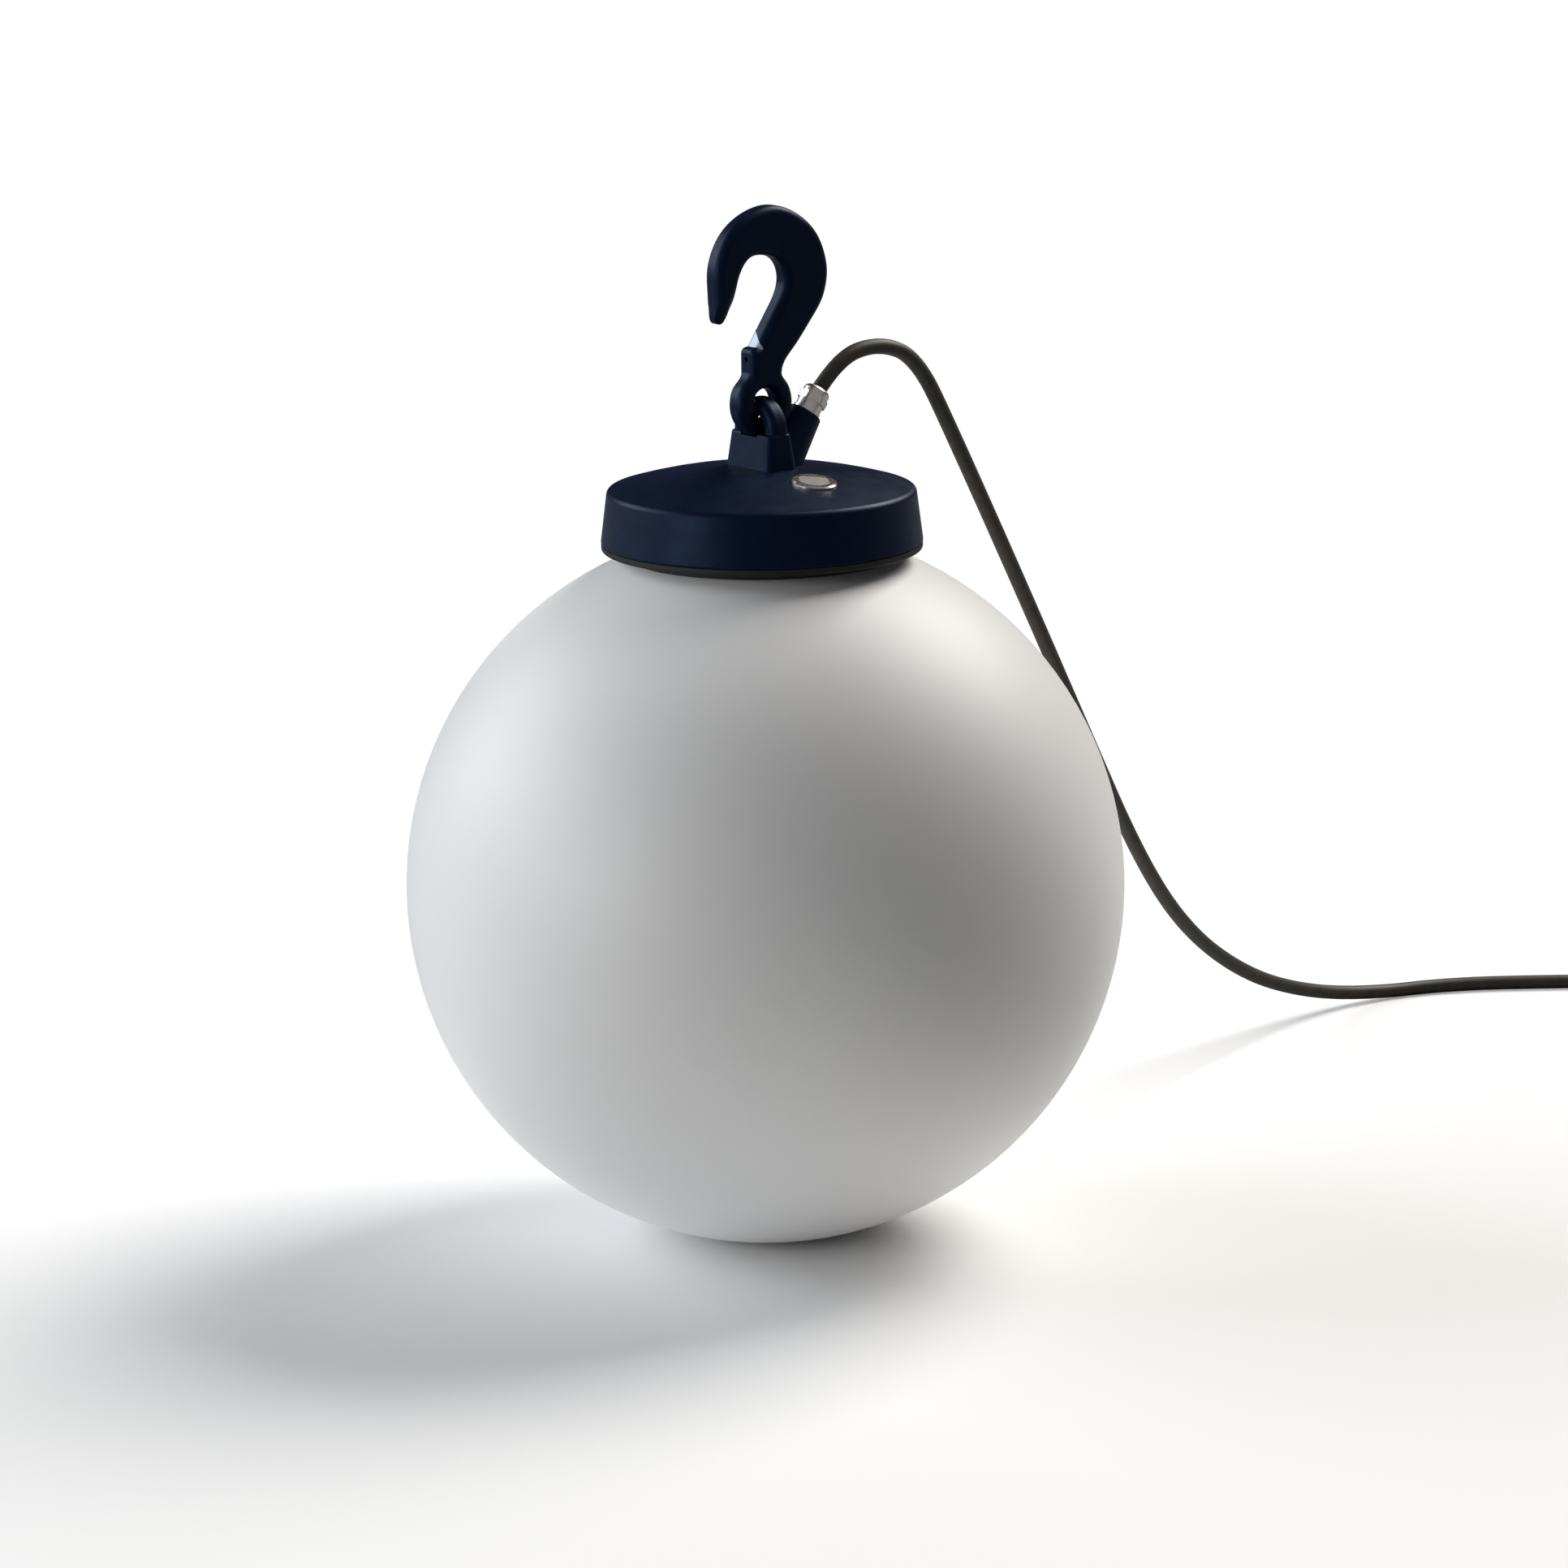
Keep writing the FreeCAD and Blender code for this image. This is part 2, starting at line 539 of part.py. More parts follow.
def made_bracket():
    """One casting: the pedestal with its bail, and the inclined boss for the gland."""
    low = rounded_rectangle(*PEDESTAL_BASE, PEDESTAL_CORNER_R, PEDESTAL_BASE_Z)
    high = rounded_rectangle(*PEDESTAL_TOP, PEDESTAL_CORNER_R, PEDESTAL_TOP_Z)
    pedestal = Part.makeLoft([low, high], True, True)
    pedestal = filleted(pedestal, PEDESTAL_EDGE_R,
                        lambda edge: all(abs(v.Z - PEDESTAL_TOP_Z) < 1e-4 for v in edge.Vertexes))
    saddle_r = EYE_R + EYE_GAP
    saddle_half = HOOK_T / 2 + EYE_GAP
    saddle = Part.makeCylinder(saddle_r, 2 * saddle_half, Vec(0, -saddle_half, EYE_Z), Y_AXIS)
    pedestal = pedestal.cut(saddle)
    boss_end_r = BOSS_R + BOSS_LENGTH * math.tan(math.radians(BOSS_TAPER_DEG))
    boss = Part.makeCone(boss_end_r, BOSS_R, BOSS_LENGTH, Vec(0, 0, -BOSS_LENGTH))
    boss = filleted(boss, BOSS_EDGE_R, lambda edge: circle_at(edge, BOSS_R, 0))
    boss = placed(boss, BOSS_FACE, BOSS_AXIS)
    eye_room = Part.makeCylinder(saddle_r + EYE_GAP, 4 * saddle_half, Vec(0, -2 * saddle_half, EYE_Z), Y_AXIS)
    bracket = pedestal.fuse(boss.cut(eye_room).cut(eye_side())).fuse(made_bail())
    bracket = bracket.cut(dome_ball())
    thread_room = cylinder(GLAND_THREAD_R, -GLAND_THREAD_LENGTH - 0.5, 1)
    bracket = bracket.cut(boss_bore()).cut(placed(thread_room, BOSS_FACE, BOSS_AXIS))
    screw_tip = screw_start_z() + BRACKET_SCREW_LENGTH + 0.5
    screw_room = cylinder(BRACKET_SCREW[0] + SCREW_GAP, APEX_Z - 5, screw_tip, 0, BRACKET_SCREW_Y)
    for one in spaced_round(screw_room, 2):
        bracket = bracket.cut(one)
    return bracket.removeSplitter()


def eye_side():
    """Block on the -X side of the light's axis, where the boss may not reach."""
    return Part.makeBox(2 * CAP_RIM_R, 2 * CAP_RIM_R, 2 * CAP_RIM_R, Vec(-2 * CAP_RIM_R, -CAP_RIM_R, GLOBE_Z))


def made_bail():
    out_r = BAIL_IN_R + BAIL_BAR
    middle_y = (BAIL_IN_R + out_r) / 2
    section = Part.Face(rounded_rectangle(BAIL_WIDTH, BAIL_BAR, BAIL_EDGE_R, BAIL_Z))
    section.translate(Vec(0, middle_y, 0))
    arch = section.revolve(Vec(0, 0, BAIL_Z), X_AXIS, 180)
    leg = section.extrude(Vec(0, 0, -BAIL_LEG))
    other = leg.mirror(ORIGIN, Y_AXIS)
    return arch.fuse(leg).fuse(other).removeSplitter()


def screw_start_z():
    """Height of the cap's inner face over the bracket screws."""
    return DOME_CENTRE.z + math.sqrt((DOME_R - CAP_WALL) ** 2 - BRACKET_SCREW_Y ** 2)


def on_circle(centre, radius, start, stop, step):
    """Points on a circle in the hook's plane, as (x, height)."""
    points = []
    for azimuth in range(start, stop, step):
        angle = math.radians(azimuth)
        points.append((centre[0] + radius * math.cos(angle), centre[1] + radius * math.sin(angle)))
    return points


def hook_outline():
    """Closed outline of the hook as (x, height over the eye's centre), against the clock from the neck."""
    tip = on_circle(TIP_AT, TIP_R, 180, 330, 37)
    eye = on_circle((0, 0), EYE_R, 126, 420, 21)
    return HOOK_BACK + HOOK_FRONT + tip + HOOK_BOWL + HOOK_THROAT + eye


def made_hook():
    corners = [Vec(x, 0, EYE_Z + z) for x, z in hook_outline()]
    curve = Part.BSplineCurve()
    curve.interpolate(Points=corners, PeriodicFlag=True)
    first = curve.FirstParameter
    span = (curve.LastParameter - first) / HOOK_SPANS
    spans = [curve.toShape(first + k * span, first + (k + 1) * span) for k in range(HOOK_SPANS)]
    body = Part.Face(Part.Wire(spans)).extrude(Vec(0, HOOK_T, 0))
    body.translate(Vec(0, -HOOK_T / 2, 0))
    body = filleted(body, HOOK_EDGE_R, lambda edge: abs(edge.Vertexes[0].Y - edge.Vertexes[-1].Y) < 1e-6)
    eye_hole = Part.makeCylinder(EYE_HOLE_R, HOOK_T + 2, Vec(0, -HOOK_T / 2 - 1, EYE_Z), Y_AXIS)
    body = body.cut(eye_hole)
    body = filleted(body, EYE_EDGE_R,
                    lambda edge: circle_of(edge) and abs(circle_of(edge).Radius - EYE_HOLE_R) < 0.01)
    low, high = LATCH_LUG_Z
    left, right = LATCH_LUG_X
    lug = Part.makeBox(right - left, HOOK_T, high - low, Vec(left, -HOOK_T / 2, EYE_Z + low))
    lug = filleted(lug, LATCH_LUG_EDGE_R, lambda edge: is_outer_lug_edge(edge))
    body = body.fuse(lug)
    hole_z = EYE_Z + LUG_HOLE_Z
    hole = Part.makeCylinder(LUG_HOLE_R, LUG_HOLE_DEPTH + 1, Vec(left - 1, 0, hole_z), X_AXIS)
    return body.cut(hole).removeSplitter()


def is_outer_lug_edge(edge):
    """Whether an edge lies on the lug's free sides: its -X face and its top."""
    left = all(abs(v.X - LATCH_LUG_X[0]) < 1e-6 for v in edge.Vertexes)
    top = all(abs(v.Z - EYE_Z - LATCH_LUG_Z[1]) < 1e-6 for v in edge.Vertexes)
    low = all(abs(v.Z - EYE_Z - LATCH_LUG_Z[0]) < 1e-6 for v in edge.Vertexes)
    right = all(abs(v.X - LATCH_LUG_X[1]) < 1e-6 for v in edge.Vertexes)
    return (left or top) and not low and not right


def made_gland():
    """Body, nut, rubber sleeve and the ring under the flange, along the boss's axis."""
    body = cylinder(GLAND_FLANGE_R, 0, GLAND_FLANGE_H)
    body = body.fuse(cylinder(GLAND_BODY_R, 0, GLAND_BODY_TOP))
    body = body.fuse(cylinder(GLAND_THREAD_R - 0.02, -GLAND_THREAD_LENGTH, 0))
    body = body.fuse(cylinder(GLAND_STUB_R, 0, GLAND_STUB_TOP))
    body = body.cut(cylinder(GLAND_BORE_R, -GLAND_THREAD_LENGTH - 1, GLAND_TOP))
    body = body.cut(cylinder(GLAND_SEAL_R, GLAND_SEAL_BOTTOM, GLAND_TOP))
    oring_out = GLAND_THREAD_R + 0.65
    body = body.cut(ring(oring_out, GLAND_THREAD_R, -1, GLAND_ORING_T))
    oring = ring(oring_out, GLAND_THREAD_R, 0, GLAND_ORING_T)
    seal = ring(GLAND_SEAL_R, CABLE_R, GLAND_SEAL_BOTTOM, GLAND_SEAL_TOP)
    band = hex_prism(GLAND_HEX, GLAND_BODY_TOP, GLAND_HEX_TOP)
    band = band.common(cylinder(GLAND_HEX_CORNER_R, GLAND_BODY_TOP, GLAND_HEX_TOP))
    dome = cylinder(GLAND_DOME_R, GLAND_BODY_TOP, GLAND_TOP)
    dome = filleted(dome, GLAND_DOME_ROUND, lambda edge: circle_at(edge, GLAND_DOME_R, GLAND_TOP))
    nut = band.fuse(dome)
    nut = nut.cut(cylinder(GLAND_STUB_R + 0.02, GLAND_BODY_TOP - 1, GLAND_STUB_TOP + 0.1))
    nut = nut.cut(cylinder(GLAND_SEAL_R, GLAND_BODY_TOP, GLAND_SEAL_TOP))
    nut = nut.cut(cylinder(CABLE_R + SCREW_GAP, GLAND_BODY_TOP, GLAND_TOP + 1))
    return [placed(one, BOSS_FACE, BOSS_AXIS) for one in (body, nut.removeSplitter(), seal, oring)]


def made_button():
    """Bezel, button, switch, nut and rubber ring, along the dome's normal."""
    under_dome = placed(dome_ball(), ORIGIN, Z_AXIS)
    bezel = cylinder(BEZEL_R, -1, BEZEL_H)
    rim = [edge for edge in bezel.Edges if circle_at(edge, BEZEL_R, BEZEL_H)]
    bezel = bezel.makeChamfer(BEZEL_BEVEL, rim)
    bezel = placed(bezel, BUTTON_AT, BUTTON_AXIS).cut(under_dome)
    barrel = placed(cylinder(BARREL_R, -BARREL_LENGTH, BEZEL_H / 2), BUTTON_AT, BUTTON_AXIS)
    bore = placed(cylinder(BUTTON_R + RUNNING_GAP, -BARREL_LENGTH - 1, BEZEL_H + 1), BUTTON_AT, BUTTON_AXIS)
    oring_r = (BARREL_R + SCREW_GAP, BARREL_R + 0.9)
    oring = ring(oring_r[1], oring_r[0], -1, BUTTON_ORING_T)
    oring = placed(oring, BUTTON_AT, BUTTON_AXIS).cut(under_dome)
    bezel = bezel.fuse(barrel).cut(bore).cut(oring)
    top = BEZEL_H - BUTTON_RECESS
    button = cylinder(BUTTON_R, top - BUTTON_LENGTH, top)
    button = filleted(button, 0.3, lambda edge: circle_at(edge, BUTTON_R, top))
    button = button.fuse(cylinder(STEM_R, top - BUTTON_LENGTH - STEM_LENGTH, top - BUTTON_LENGTH))
    switch = cylinder(BUTTON_R, -BARREL_LENGTH, SWITCH_TOP)
    switch = switch.fuse(cylinder(SWITCH_R, SWITCH_BOTTOM, -BARREL_LENGTH))
    switch = switch.cut(cylinder(STEM_R + RUNNING_GAP, SWITCH_TOP - 5, SWITCH_TOP + 1))
    tag_x, tag_y, tag_z = SWITCH_TAG
    for side in (-1, 1):
        corner = Vec(side * SWITCH_TAG_X - tag_x / 2, -tag_y / 2, SWITCH_BOTTOM - tag_z)
        switch = switch.fuse(Part.makeBox(tag_x, tag_y, tag_z, corner))
    nut = hex_prism(BUTTON_NUT_FLATS, -CAP_WALL - BUTTON_NUT_H, 0).cut(cylinder(BARREL_R, -20, 20))
    nut = placed(nut, BUTTON_AT, BUTTON_AXIS).common(dome_ball(-CAP_WALL))
    button, switch = (placed(one, BUTTON_AT, BUTTON_AXIS) for one in (button, switch))
    return bezel.removeSplitter(), button, switch.removeSplitter(), nut, oring


def made_tray():
    tray = cylinder(TRAY_R, TRAY_Z, TRAY_TOP_Z)
    low = TRAY_Z - 1
    high = TRAY_TOP_Z + 1
    ring_hole = cylinder(RING_SCREW[0] + SCREW_GAP, low, high, RING_SCREW_PCR)
    holes = spaced_round(ring_hole, LUG_COUNT, RING_SCREW_AZ)
    for side in (-1, 1):
        holes.append(cylinder(HOLDER_SCREW[0] + SCREW_GAP, low, high, 0, side * HOLDER_SCREW_Y))
        holes.append(cylinder(LEAD_HOLE_R, low, high, *holder_lead_hole(side)))
        holes.append(cylinder(LEAD_HOLE_R, low, high, *switch_lead_hole(side)))
    holes.append(cylinder(EARTH_SCREW[0] + SCREW_GAP, low, high, *EARTH_AT))
    holes.append(placed(cylinder(BARREL_R + 1.2, SWITCH_BOTTOM, 0), BUTTON_AT, BUTTON_AXIS))
    for hole in holes:
        tray = tray.cut(hole)
    return tray


def holder_lead_hole(side):
    return BLOCK_AT[0] - BLOCK_SIZE[0] / 2 - 8.0, side * BLOCK_PITCH


def switch_lead_hole(side):
    return BLOCK_AT[0] + side * 2.6, BLOCK_AT[1] - BLOCK_SIZE[1] / 2 - 8.0


def made_holder():
    """Moulded holder, its threaded metal shell and its centre contact."""
    holder = cylinder(HOLDER_R, HOLDER_BOTTOM_Z, TRAY_Z)
    holder = filleted(holder, 2.0, lambda edge: circle_at(edge, HOLDER_R, HOLDER_BOTTOM_Z))
    holder = holder.cut(cylinder(HOLDER_BORE_R, HOLDER_BOTTOM_Z - 1, HOLDER_BORE_TOP_Z))
    screw_tip = TRAY_TOP_Z - HOLDER_SCREW_LENGTH
    for side in (-1, 1):
        hole = cylinder(HOLDER_SCREW[0] + 0.02, screw_tip, TRAY_Z + 1, 0, side * HOLDER_SCREW_Y)
        entry_at = Vec(-HOLDER_R - 1, side * BLOCK_PITCH, HOLDER_ENTRY_Z)
        entry = Part.makeCylinder(LEAD_HOLE_R, HOLDER_R, entry_at, X_AXIS)
        holder = holder.cut(hole).cut(entry)
    shell_z = HOLDER_BORE_TOP_Z - 3
    shell = ring(HOLDER_BORE_R, HOLDER_BORE_R - SHELL_T, shell_z - SHELL_LENGTH, shell_z)
    tongue = Part.makeBox(2 * HOLDER_BORE_R - 8, CONTACT_W, CONTACT_T,
                          Vec(4 - HOLDER_BORE_R, -CONTACT_W / 2, HOLDER_BORE_TOP_Z - CONTACT_T))
    nib = cylinder(2.4, HOLDER_BORE_TOP_Z - CONTACT_T - 1.2, HOLDER_BORE_TOP_Z - CONTACT_T)
    return holder, shell, tongue.fuse(nib).removeSplitter()


def made_lamp():
    """Lamp with a threaded base: base, contact tip, body and opal dome."""
    tip_top = HOLDER_BORE_TOP_Z - CONTACT_T - 1.2
    base_top = tip_top - LAMP_TIP_H
    base_low = base_top - LAMP_BASE_LENGTH
    tip = Part.makeCone(LAMP_BASE_R - 1, LAMP_TIP_R, LAMP_TIP_H, Vec(0, 0, base_top))
    base = ring(LAMP_BASE_R, LAMP_BASE_R - LAMP_BASE_T, base_low, base_top)
    core_r = LAMP_BASE_R - LAMP_BASE_T
    body_low = base_low - LAMP_BODY_LENGTH
    body = revolved([
        (0, body_low), (LAMP_R, body_low), (LAMP_R - 1.5, body_low + 8),
        (LAMP_NECK_R + 3, HOLDER_BOTTOM_Z - 6), (LAMP_NECK_R, HOLDER_BOTTOM_Z - 1), (LAMP_NECK_R, base_low),
        (core_r, base_low), (core_r, base_top), (0, base_top),
    ])
    dome_z = body_low - LAMP_DOME_LENGTH + LAMP_R
    inner_r = LAMP_R - LAMP_DOME_WALL
    outside = Part.makeSphere(LAMP_R, Vec(0, 0, dome_z)).fuse(cylinder(LAMP_R, dome_z, body_low))
    outside = outside.common(cylinder(LAMP_R + 1, 0, body_low))
    inside = Part.makeSphere(inner_r, Vec(0, 0, dome_z)).fuse(cylinder(inner_r, dome_z, body_low + 1))
    return base, tip, body, outside.cut(inside).removeSplitter()


def made_terminal_block():
    size_x, size_y, size_z = BLOCK_SIZE
    x, y = BLOCK_AT
    block = Part.makeBox(size_x, size_y, size_z, Vec(x - size_x / 2, y - size_y / 2, TRAY_TOP_Z))
    top = TRAY_TOP_Z + size_z
    screws = []
    for way in (-1, 0, 1):
        for side in (-1, 1):
            spot = (x + side * 2.6, y + way * BLOCK_PITCH)
            low = top - BLOCK_SCREW_LENGTH
            block = block.cut(cylinder(BLOCK_SCREW_R, low, top + 1, *spot))
            screws.append(cylinder(BLOCK_SCREW_R, low, top + BLOCK_SCREW_PROUD, *spot))
    for way in (-1, 1):
        groove_at = Vec(x - size_x / 2 - 1, y + way * BLOCK_PITCH / 2 - 0.5, top - 2.5)
        block = block.cut(Part.makeBox(size_x + 2, 1.0, 2.5, groove_at))
    return block, screws


def made_leads():
    """Supply, holder and switch leads."""
    block_x, block_y = BLOCK_AT
    near_x = block_x + BLOCK_SIZE[0] / 2
    far_x = block_x - BLOCK_SIZE[0] / 2
    sheath_end = BOSS_FACE + BOSS_AXIS * (GLAND_TOP - CABLE_START - SHEATH_LENGTH)
    supply = []
    for side in (-1, 1):
        start = sheath_end + Vec(0, 1.25 * side, 0)
        way_y = side * BLOCK_PITCH
        points = [
            start, start - BOSS_AXIS * 16, Vec(-6, 0.75 * way_y, LEAD_Z + 2), Vec(near_x + 6, way_y, LEAD_Z),
            Vec(near_x, way_y, LEAD_Z),
        ]
        supply.append(tube(points, LEAD_R, LEAD_BEND_R))
    start = sheath_end + Vec(BOSS_AXIS.z, 0, -BOSS_AXIS.x) * 2.1
    end = Vec(EARTH_AT[0], EARTH_AT[1], TRAY_TOP_Z + EARTH_SCREW[2] + LEAD_R)
    points = [start, start - BOSS_AXIS * 18.5, Vec(15, 12, end.z + 2), end]
    supply.append(tube(points, LEAD_R, LEAD_BEND_R))
    holder, switch = [], []
    tag_end = BUTTON_AT + BUTTON_AXIS * (SWITCH_BOTTOM - SWITCH_TAG[2])
    for side in (-1, 1):
        x, y = holder_lead_hole(side)
        end = Vec(-HOLDER_R + 5, y, HOLDER_ENTRY_Z)
        points = [Vec(far_x, y, LEAD_Z), Vec(x, y, LEAD_Z), Vec(x, y, HOLDER_ENTRY_Z), end]
        holder.append(tube(points, LEAD_R, LEAD_BEND_R))
        x, y = switch_lead_hole(side)
        start = tag_end + Vec(side * SWITCH_TAG_X, 0, 0)
        low_z = start.z - 5 - side * 1.3
        points = [
            start, Vec(start.x, start.y, low_z), Vec(x, y - 4, low_z), Vec(x, y, low_z + 6),
            Vec(x, y, LEAD_Z), Vec(x, block_y - BLOCK_SIZE[1] / 2, LEAD_Z),
        ]
        switch.append(tube(points, LEAD_R, LEAD_BEND_R))
    return supply, holder, switch


def cable_route():
    start = BOSS_FACE + BOSS_AXIS * (GLAND_TOP - CABLE_START)
    return [start, start + BOSS_AXIS * CABLE_FIRST_RUN] + [Vec(*point) for point in CABLE_POINTS]


def coil_centre():
    return Vec(*CABLE_POINTS[-1]) - at_azimuth(OUTER_TURN_R, ENTRY_AZ, CABLE_POINTS[-1][2])


def made_coil():
    """Outer shape of the wound cable, and the ties round it."""
    high = COIL_HIGH * CABLE_D

    def bundle(grow, degrees):
        section = rounded_rectangle(COIL_WIDE * CABLE_D + 2 * grow, high + 2 * grow, COIL_EDGE_R + grow, 0)
        section.rotate(ORIGIN, X_AXIS, 90)
        section.translate(Vec(COIL_MID_R, 0, COIL_FLOOR_GAP + high / 2))
        return Part.Face(section).revolve(ORIGIN, Z_AXIS, degrees)

    coil = Part.Solid(bundle(0, 360))
    tie_degrees = math.degrees(TIE_WIDTH / COIL_MID_R)
    tie = bundle(COIL_FLOOR_GAP, tie_degrees).cut(coil)
    ties = []
    for azimuth in TIE_AZ:
        one = tie.copy()
        one.rotate(ORIGIN, Z_AXIS, azimuth - tie_degrees / 2)
        ties.append(one)
    for one in [coil] + ties:
        one.translate(coil_centre())
    return coil, ties


def tail_route():
    """From the top layer of the coil, along the tangent, to the plug's strain relief."""
    out = at_azimuth(1, EXIT_AZ)
    along = at_azimuth(1, EXIT_AZ - 90)
    start = coil_centre() + out * OUTER_TURN_R
    return [Vec(start.x, start.y, z) + along * step + out * shift for step, shift, z in TAIL_STEPS]


def made_plug():
    """Strain relief, body, pins and earth clips of the mains plug, lying on the ground."""
    route = tail_route()
    axis = route[-1] - route[-2]
    axis = Vec(axis.x, axis.y, 0).normalize()
    relief_low, relief_high = RELIEF_R
    relief = Part.makeCone(relief_low, relief_high, RELIEF_LENGTH)
    for k in range(4):
        z = 4.0 + 5.0 * k
        relief = relief.cut(ring(relief_high + 1, relief_low - 0.3 + 0.45 * k, z, z + 1.6))
    front = RELIEF_LENGTH + PLUG_LENGTH
    shoulder = front - PLUG_FACE_H
    body = revolved([
        (0, RELIEF_LENGTH), (PLUG_BACK_R - 1.5, RELIEF_LENGTH), (PLUG_BACK_R, RELIEF_LENGTH + 1.5),
        (PLUG_BACK_R + 1.5, shoulder - 8), (PLUG_R - 1, shoulder - 1), (PLUG_R, shoulder), (PLUG_R, front),
        (0, front),
    ])
    body = filleted(body, 1.0, lambda edge: circle_at(edge, PLUG_R, front))
    clips, pins = [], []
    clip_x, clip_y, clip_z = CLIP_SIZE
    for side in (-1, 1):
        seat_y = PLUG_R - CLIP_SET_IN
        slot = Part.makeBox(clip_x + 4, 10, clip_z + 3, Vec(-clip_x / 2 - 2, seat_y, front - clip_z - 2))
        clip = Part.makeBox(clip_x, clip_y, clip_z, Vec(-clip_x / 2, seat_y, front - clip_z - 0.5))
        if side < 0:
            slot = slot.mirror(ORIGIN, Y_AXIS)
            clip = clip.mirror(ORIGIN, Y_AXIS)
        body = body.cut(slot)
        clips.append(clip)
        pin_x = side * PIN_SPACING / 2
        pin = cylinder(PIN_R, front - PIN_ROOT, front + PIN_LENGTH, pin_x)
        pin = filleted(pin, 1.2, lambda edge: circle_at(edge, PIN_R, front + PIN_LENGTH))
        body = body.cut(cylinder(PIN_R, front - PIN_ROOT, front + 1, pin_x))
        pins.append(pin)
    group = [relief, body.removeSplitter()] + pins + clips
    group = [placed(one, route[-1], axis) for one in group]
    return group[0], group[1], group[2:4], group[4:6]


def save(name, *solids):
    shape = solids[0] if len(solids) == 1 else Part.makeCompound(list(solids))
    shape.exportStep(os.path.join("parts", name + ".step"))
    counts = len(shape.Solids)
    print(name, "solids", counts, "valid", shape.isValid(), "volume", round(shape.Volume, 1))


def main():
    os.makedirs("parts", exist_ok=True)
    save("globe_diffuser", made_globe())
    save("bayonet_ring", made_bayonet_ring())
    save("cap_shell", made_cap_shell())
    save("cap_seal", made_cap_seal())
    save("gear_tray", made_tray())
    ring_screw = screw(RING_SCREW, RING_SCREW_LENGTH)
    ring_screw.translate(Vec(RING_SCREW_PCR, 0, TRAY_Z - RING_FLANGE_H))
    save("ring_screws", *spaced_round(ring_screw, LUG_COUNT, RING_SCREW_AZ))

    save("bail_bracket", made_bracket())
    bracket_screw = screw(BRACKET_SCREW, BRACKET_SCREW_LENGTH)
    screws = []
    for side in (-1, 1):
        one = bracket_screw.copy()
        one.translate(Vec(0, side * BRACKET_SCREW_Y, screw_start_z() - 0.5))
        screws.append(one)
    save("bracket_screws", *screws)
    save("hook", made_hook())

    body, nut, sleeve, oring = made_gland()
    save("gland_body", body)
    save("gland_nut", nut)
    save("gland_seal", sleeve)
    save("gland_oring", oring)

    bezel, button, switch, nut, oring = made_button()
    save("button_bezel", bezel)
    save("button_cap", button)
    save("switch_body", switch)
    save("button_nut", nut)
    save("button_oring", oring)

    holder, shell, contact = made_holder()
    save("lamp_holder", holder)
    save("holder_screw_shell", shell)
    save("holder_contact", contact)
    holder_screw_at = Vec(0, HOLDER_SCREW_Y, TRAY_TOP_Z)
    holder_screw = placed(screw(HOLDER_SCREW, HOLDER_SCREW_LENGTH), holder_screw_at, Z_AXIS * -1)
    save("holder_screws", *spaced_round(holder_screw, 2))
    base, tip, lamp_body, dome = made_lamp()
    save("bulb_base", base)
    save("bulb_tip", tip)
    save("bulb_body", lamp_body)
    save("bulb_envelope", dome)

    block, block_screws = made_terminal_block()
    save("terminal_block", block)
    save("terminal_screws", *block_screws)
    earth_screw_at = Vec(*EARTH_AT, TRAY_TOP_Z)
    save("earth_screw", placed(screw(EARTH_SCREW, EARTH_SCREW_LENGTH), earth_screw_at, Z_AXIS * -1))
    supply, holder_leads, switch_leads = made_leads()
    save("supply_leads", *supply)
    save("holder_leads", *holder_leads)
    save("switch_leads", *switch_leads)

    route = cable_route()
    sheath = placed(cylinder(CABLE_R, -SHEATH_LENGTH, 0), route[0], BOSS_AXIS)
    save("cable_sheath_end", sheath)
    save("cable", tube(route, CABLE_R, name="cable"))
    coil, ties = made_coil()
    save("cable_coil", coil)
    save("cable_ties", *ties)
    save("cable_tail", tube(tail_route(), CABLE_R, name="cable_tail"))
    relief, plug, pins, clips = made_plug()
    save("plug_relief", relief)
    save("plug_body", plug)
    save("plug_pins", *pins)
    save("plug_earth_clips", *clips)


if __name__ == "__main__":
    main()
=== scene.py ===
import math

import bpy
import bmesh
from mathutils import Euler, Matrix, Vector
from mathutils.bvhtree import BVHTree


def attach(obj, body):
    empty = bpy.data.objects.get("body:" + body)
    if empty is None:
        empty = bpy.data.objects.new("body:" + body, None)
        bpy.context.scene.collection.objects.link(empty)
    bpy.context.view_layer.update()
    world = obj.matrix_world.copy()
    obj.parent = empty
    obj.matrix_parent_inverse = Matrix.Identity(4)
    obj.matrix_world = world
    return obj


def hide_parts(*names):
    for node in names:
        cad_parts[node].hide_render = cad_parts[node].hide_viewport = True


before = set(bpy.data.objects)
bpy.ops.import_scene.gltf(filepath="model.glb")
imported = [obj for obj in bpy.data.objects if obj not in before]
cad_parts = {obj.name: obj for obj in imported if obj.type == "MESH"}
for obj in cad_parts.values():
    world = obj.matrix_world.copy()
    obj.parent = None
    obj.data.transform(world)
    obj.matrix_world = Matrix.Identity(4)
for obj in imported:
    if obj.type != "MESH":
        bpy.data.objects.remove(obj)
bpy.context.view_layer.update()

# View of the photograph: yaw is the angle by which the part's +X goes back from the picture's right
VIEW_YAW = math.radians(38.0)
CAMERA_DISTANCE = 2.66015
CAMERA_HEIGHT = 0.77684
CAMERA_TILT = math.radians(12.4286)
CAMERA_PAN = math.radians(0.1746)
CAMERA_ROLL = math.radians(0.55)
CAMERA_LENS = 150.0
CAMERA_SENSOR = 36.0

